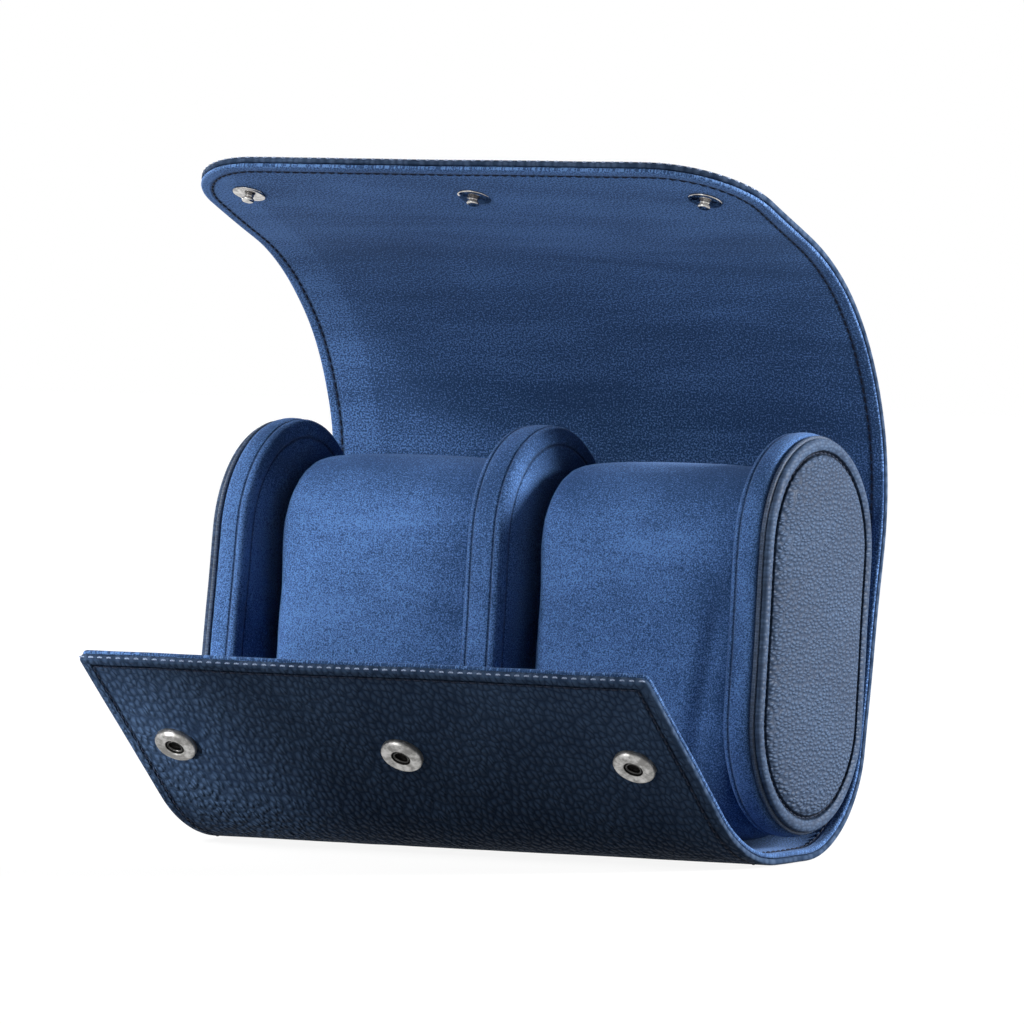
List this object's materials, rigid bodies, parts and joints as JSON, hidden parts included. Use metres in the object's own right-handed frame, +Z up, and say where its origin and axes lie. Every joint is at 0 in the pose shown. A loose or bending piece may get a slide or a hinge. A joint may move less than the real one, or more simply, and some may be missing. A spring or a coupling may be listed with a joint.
{
  "type": "watch storage case",
  "caption": "Open travel watch roll: a leather wrap whose curved lid and front flap close with press studs round padded end cheeks, a divider and removable watch cushions.",
  "frame": {"origin": "middle of the flat face of the base that the roll rests on", "axes": "+X along the roll, -Y towards the flap at the front, +Z up"},
  "size_m": [0.1666, 0.1325, 0.1785],
  "materials": {
    "leather": "pebbled navy, semi-matt",
    "lining": "blue suede-like microfibre",
    "suede": "blue suede-like microfibre",
    "board": "fibre board, hidden",
    "board_core": "board core, hidden",
    "foam": "foam, hidden",
    "stud_metal": "polished nickel",
    "socket_metal": "satin antique nickel"
  },
  "bodies": {
    "base": {"base_leather": "leather", "base_board": "board", "base_lining": "lining", "base_crease": "leather", "lid_rear_crease": "leather", "cheek_left_rim": "suede", "cheek_left_core": "board_core", "cheek_left_facing": "suede", "cheek_left_piping": "leather", "cheek_left_pad": "leather", "cheek_right_rim": "suede", "cheek_right_core": "board_core", "cheek_right_facing": "suede", "cheek_right_piping": "leather", "cheek_right_pad": "leather", "divider_rim": "suede", "divider_core": "board_core", "divider_facing_left": "suede", "divider_facing_right": "suede"},
    "flap_lower": {"flap_lower_leather": "leather", "flap_lower_board": "board", "flap_lower_lining": "lining", "flap_crease": "leather"},
    "flap": {"flap_leather": "leather", "flap_board": "board", "flap_lining": "lining", "snap_sockets": "socket_metal", "snap_socket_springs": "socket_metal", "snap_socket_rivets": "socket_metal"},
    "lid_rear": {"lid_rear_leather": "leather", "lid_rear_board": "board", "lid_rear_lining": "lining", "lid_upper_crease": "leather"},
    "lid_upper": {"lid_upper_leather": "leather", "lid_upper_board": "board", "lid_upper_lining": "lining", "lid_top_crease": "leather"},
    "lid_top": {"lid_top_leather": "leather", "lid_top_board": "board", "lid_top_lining": "lining", "lid_front_crease": "leather"},
    "lid_front": {"lid_front_leather": "leather", "lid_front_board": "board", "lid_front_lining": "lining", "snap_studs": "stud_metal", "snap_stud_rivets": "stud_metal"},
    "cushion_left": {"cushion_left_cover": "suede", "cushion_left_core": "foam"},
    "cushion_right": {"cushion_right_cover": "suede", "cushion_right_core": "foam"}
  },
  "joints": [
    {"name": "lid_fold", "type": "hinge", "parent": "base", "child": "lid_rear", "pos_m": [0, 0.04057, 0.07244], "axis": [1, 0, 0], "range_deg": [-12, 21.96]},
    {"name": "lid_bend_upper", "type": "hinge", "parent": "lid_rear", "child": "lid_upper", "pos_m": [0, 0.04207, 0.10524], "axis": [1, 0, 0], "range_deg": [-15.69, 28.67]},
    {"name": "lid_bend_top", "type": "hinge", "parent": "lid_upper", "child": "lid_top", "pos_m": [0, 0.02928, 0.13506], "axis": [1, 0, 0], "range_deg": [-15.96, 29.16]},
    {"name": "lid_bend_front", "type": "hinge", "parent": "lid_top", "child": "lid_front", "pos_m": [0, -0.00388, 0.16001], "axis": [1, 0, 0], "range_deg": [-12.51, 22.85]},
    {"name": "flap_fold", "type": "hinge", "parent": "base", "child": "flap_lower", "pos_m": [0, -0.00502, 0.0006], "axis": [-1, 0, 0], "range_deg": [0, 32.96]},
    {"name": "flap_bend", "type": "hinge", "parent": "flap_lower", "child": "flap", "pos_m": [0, -0.05007, 0.01571], "axis": [-1, 0, 0], "range_deg": [0, 25.61]},
    {"name": "cushion_left_lift", "type": "slide", "parent": "base", "child": "cushion_left", "axis": [0, -0.788, 0.6157], "range_m": [0, 0.17]},
    {"name": "cushion_right_lift", "type": "slide", "parent": "base", "child": "cushion_right", "axis": [0, -0.788, 0.6157], "range_m": [0, 0.17]}
  ],
  "couplings": [
    {"joint": "lid_bend_upper", "follows": "lid_fold", "ratio": 1.3033},
    {"joint": "lid_bend_top", "follows": "lid_fold", "ratio": 1.3256},
    {"joint": "lid_bend_front", "follows": "lid_fold", "ratio": 1.0382},
    {"joint": "flap_bend", "follows": "flap_fold", "ratio": 0.77549}
  ]
}
